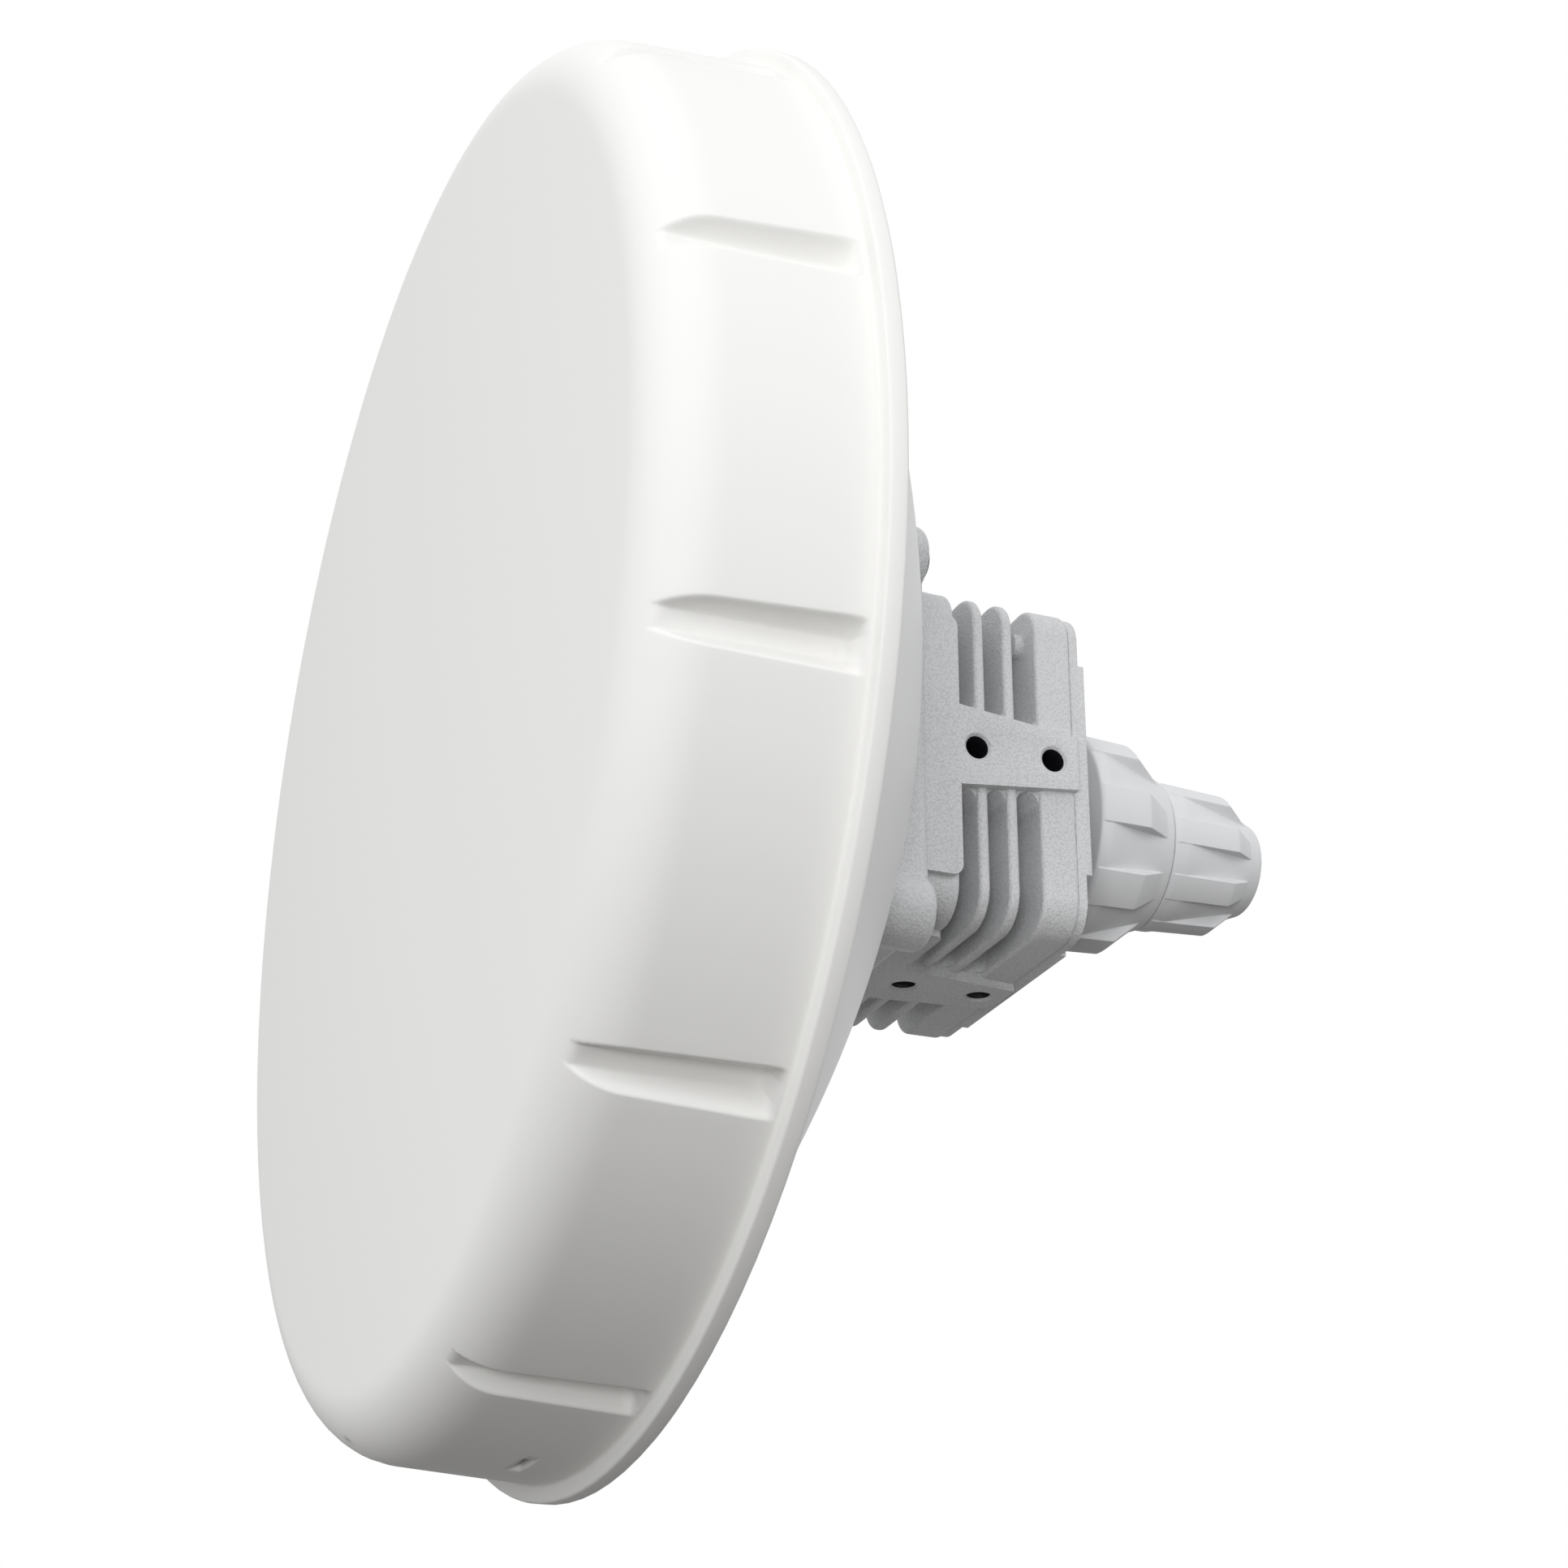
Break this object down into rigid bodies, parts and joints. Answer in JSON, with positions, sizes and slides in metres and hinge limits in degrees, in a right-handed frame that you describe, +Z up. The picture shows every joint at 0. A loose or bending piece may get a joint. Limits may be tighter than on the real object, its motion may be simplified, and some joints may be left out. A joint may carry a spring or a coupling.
{
  "type": "outdoor wireless bridge",
  "caption": "Round dish antenna under a grooved radome, with a finned die-cast housing behind it and a two-nut cable gland on the dish axis.",
  "frame": {"origin": "on the dish axis, midway between the tapped holes of the four bracket pads", "axes": "-Y is the way the radome looks, +Y points out of the cable gland, +Z is up, +X is to the side"},
  "size_m": [0.25, 0.1636, 0.25],
  "materials": {
    "radome_plastic": "warm off-white satin moulding",
    "dish_paint": "smooth light grey paint",
    "feed_metal": "plain turned aluminium",
    "cone_plastic": "natural low-loss plastic",
    "cast_housing": "die casting with a fine light grey powder coat",
    "seal_rubber": "matt black",
    "screw_steel": "dull stainless",
    "board_green": "solder mask",
    "shield_steel": "tinned sheet",
    "chip_black": "moulded package",
    "thermal_pad": "soft grey-blue pad",
    "flex_film": "amber film",
    "jack_black": "moulded socket",
    "contact_gold": "gold flash",
    "led_lens": "clear lens",
    "button_plastic": "ivory plunger",
    "gland_plastic": "light grey satin moulding"
  },
  "bodies": {
    "bridge": {"radome": "radome_plastic", "reflector": "dish_paint", "feed_tube": "feed_metal", "dielectric_cone": "cone_plastic", "sub_reflector": "feed_metal", "housing": "cast_housing", "front_gasket": "seal_rubber", "housing_screws": "screw_steel", "housing_nuts": "screw_steel", "radio_board": "board_green", "radio_shield": "shield_steel", "radio_chip": "chip_black", "radio_pad": "thermal_pad", "radio_screws": "screw_steel", "flex_cable": "flex_film", "main_board": "board_green", "cpu_chip": "chip_black", "cpu_pad": "thermal_pad", "board_screws": "screw_steel", "ethernet_jack": "jack_black", "jack_contacts": "contact_gold", "status_leds": "led_lens", "reset_switch": "chip_black", "rear_cover": "cast_housing", "rear_gasket": "seal_rubber", "cover_screws": "screw_steel", "collar_seal": "seal_rubber"},
    "sleeve": {"gland_sleeve": "gland_plastic", "cable_seal": "seal_rubber"},
    "lock_nut": {"lock_nut": "gland_plastic"},
    "clamp_ring": {"clamp_ring": "gland_plastic"},
    "cap_nut": {"cap_nut": "gland_plastic"},
    "button": {"reset_button": "button_plastic"}
  },
  "joints": [
    {"name": "lock_nut_travel", "type": "slide", "parent": "bridge", "child": "sleeve", "axis": [0, 1, 0], "range_m": [0, 0.01]},
    {"name": "lock_nut_turn", "type": "hinge", "parent": "sleeve", "child": "lock_nut", "pos_m": [0, 0.03, 0], "axis": [0, 1, 0], "range_deg": [0, 1800]},
    {"name": "cap_nut_travel", "type": "slide", "parent": "sleeve", "child": "clamp_ring", "axis": [0, 1, 0], "range_m": [0, 0.0105]},
    {"name": "cap_nut_turn", "type": "hinge", "parent": "clamp_ring", "child": "cap_nut", "pos_m": [0, 0.05, 0], "axis": [0, 1, 0], "range_deg": [0, 2520]},
    {"name": "reset_press", "type": "slide", "parent": "bridge", "child": "button", "axis": [0, -1, 0], "range_m": [0, 0.0003], "stiffness_N_per_m": 1000}
  ],
  "couplings": [
    {"joint": "lock_nut_turn", "follows": "lock_nut_travel", "rad_per_m": 3141.5},
    {"joint": "cap_nut_turn", "follows": "cap_nut_travel", "rad_per_m": 4188.7}
  ]
}
